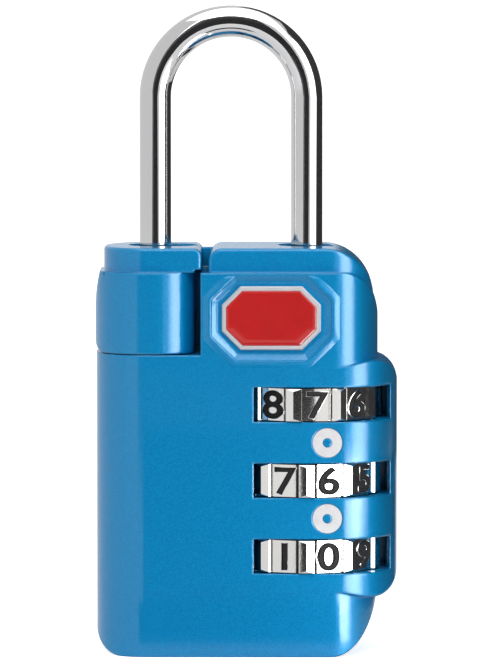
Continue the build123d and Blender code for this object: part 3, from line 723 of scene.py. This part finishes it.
def standingCard(turn, spread, away, top):
    # corners of a card on the floor that faces the product, turned from the front towards +X
    side = math.radians(turn)
    middle = Vector((math.sin(side), -math.cos(side), 0.0)) * away
    across = Vector((math.cos(side), math.sin(side), 0.0)) * away * math.tan(math.radians(spread / 2))
    upward = Vector((0.0, 0.0, top))
    return [middle - across, middle + across, middle + across + upward, middle - across + upward]


bpy.context.scene.world = studioWorld()
half = studio["floorHalf"]
floorCorners = [(-half, -half, 0.0), (half, -half, 0.0), (half, half, 0.0), (-half, half, 0.0)]
stageCard("studioFloor", floorCorners, studioPaper())

darkCloth = flagCloth("blackFlagCloth", studio["flagColour"])
paleCloth = flagCloth("greyFlagCloth", studio["paleFlagColour"])
flags = {  # turn and angular width in degrees, distance, top, cloth, seen in gloss, shades matt surfaces
    "frontFlag": (0.75, 31.5, 0.2, 0.25, darkCloth, True, False),
    "frontLowFlag": (0.0, 40.0, 0.045, 0.018, darkCloth, True, False),
    "frontBaseFlag": (0.0, 78.0, 0.018, 0.0042, darkCloth, True, False),
    "sideFlag": (104.0, 68.0, 0.2, 0.3, darkCloth, True, True),
    "sideLowFlag": (108.0, 74.0, 0.045, 0.016, darkCloth, True, True),
    "backFlag": (156.0, 38.0, 0.2, 0.3, darkCloth, True, True),
    "paleFlag": (-19.5, 9.0, 0.2, 0.25, paleCloth, True, False),
    "rightScrim": (64.0, 64.0, 0.21, 0.3, darkCloth, False, True),
}
for name, (turn, spread, away, top, cloth, inGloss, onMatt) in flags.items():
    card = stageCard(name, standingCard(turn, spread, away, top), cloth)
    card.visible_camera = False
    card.visible_diffuse = onMatt
    card.visible_glossy = inGloss
    card.visible_shadow = False

# turn in degrees, distance, height of the middle and of the aim, width, height, radiance,
# whether it lights gloss alone, whether its upright sides are soft
lamps = {
    "softbox": (51.5, 0.13, 0.08, 0.08, 0.122, 0.16, 11.5, True, True),
    "lowSoftbox": (39.0, 0.048, 0.0085, 0.0085, 0.046, 0.016, 15.0, True, True),
    "baseSoftbox": (46.0, 0.0225, 0.0024, 0.0024, 0.013, 0.0044, 15.0, True, True),
    "overhead": (20.0, 0.05, 0.25, 0.03, 0.24, 0.3, 2.2, True, False),
    "keyLamp": (-6.0, 0.4, 0.35, 0.03, 0.3, 0.3, 4.1, False, False),
}
softSide = {  # in widths of the softbox from its middle
    "dark": 0.5,
    "full": 0.1,
}


def fadeSides(light):
    # full in the middle and soft towards both upright edges, as cloth before one tube
    light.use_nodes = True
    tree = light.node_tree
    spot = addNode(tree, "ShaderNodeNewGeometry").outputs["Parametric"]
    across = addNode(tree, "ShaderNodeSeparateXYZ", {0: spot}).outputs[0]
    off = calc(tree, "ABSOLUTE", calc(tree, "SUBTRACT", across, 0.5))
    fade = addNode(tree, "ShaderNodeMapRange", {
        "Value": off, "From Min": softSide["dark"], "From Max": softSide["full"],
    }, interpolation_type="SMOOTHSTEP")
    tree.links.new(fade.outputs[0], tree.nodes["Emission"].inputs["Strength"])


for name, (turn, away, rise, aim, width, height, radiance, glossAlone, softSides) in lamps.items():
    light = bpy.data.lights.new(name, "AREA")
    light.shape = "RECTANGLE"
    light.size = width
    light.size_y = height
    light.energy = radiance * math.pi * width * height
    lamp = addObject(name, light)
    side = math.radians(turn)
    lamp.location = (away * math.sin(side), -away * math.cos(side), rise)
    lamp.rotation_euler = (Vector((0.0, 0.0, aim)) - lamp.location).to_track_quat("-Z", "Y").to_euler()
    lamp.visible_camera = False
    lamp.visible_diffuse = not glossAlone
    if softSides:
        fadeSides(light)

cameraView = {
    "aim": Vector((0.2, -0.5, 31.91)) * mm,
    "distance": 601.7 * mm,
    "height": 77.6 * mm,
    "azimuth": 0.35,  # degrees from the front towards +X
    "lens": 326.7,
    "sensor": 36.0,
    "near": 1 * mm,
    "far": 10.0,
}


def studioCamera():
    aim = cameraView["aim"]
    swing = math.radians(cameraView["azimuth"])
    run = math.sqrt(cameraView["distance"] ** 2 - (cameraView["height"] - aim.z) ** 2)
    eye = aim + Vector((run * math.sin(swing), -run * math.cos(swing), 0.0))
    eye.z = cameraView["height"]
    camera = addObject("studioCamera", bpy.data.cameras.new("studioCamera"))
    camera.location = eye
    camera.rotation_euler = (aim - eye).to_track_quat("-Z", "Y").to_euler()
    camera.data.lens = cameraView["lens"]
    camera.data.sensor_width = cameraView["sensor"]
    camera.data.clip_start = cameraView["near"]
    camera.data.clip_end = cameraView["far"]
    return camera


bpy.context.scene.camera = studioCamera()
bpy.context.scene.view_settings.view_transform = "Standard"
print("studio lit")
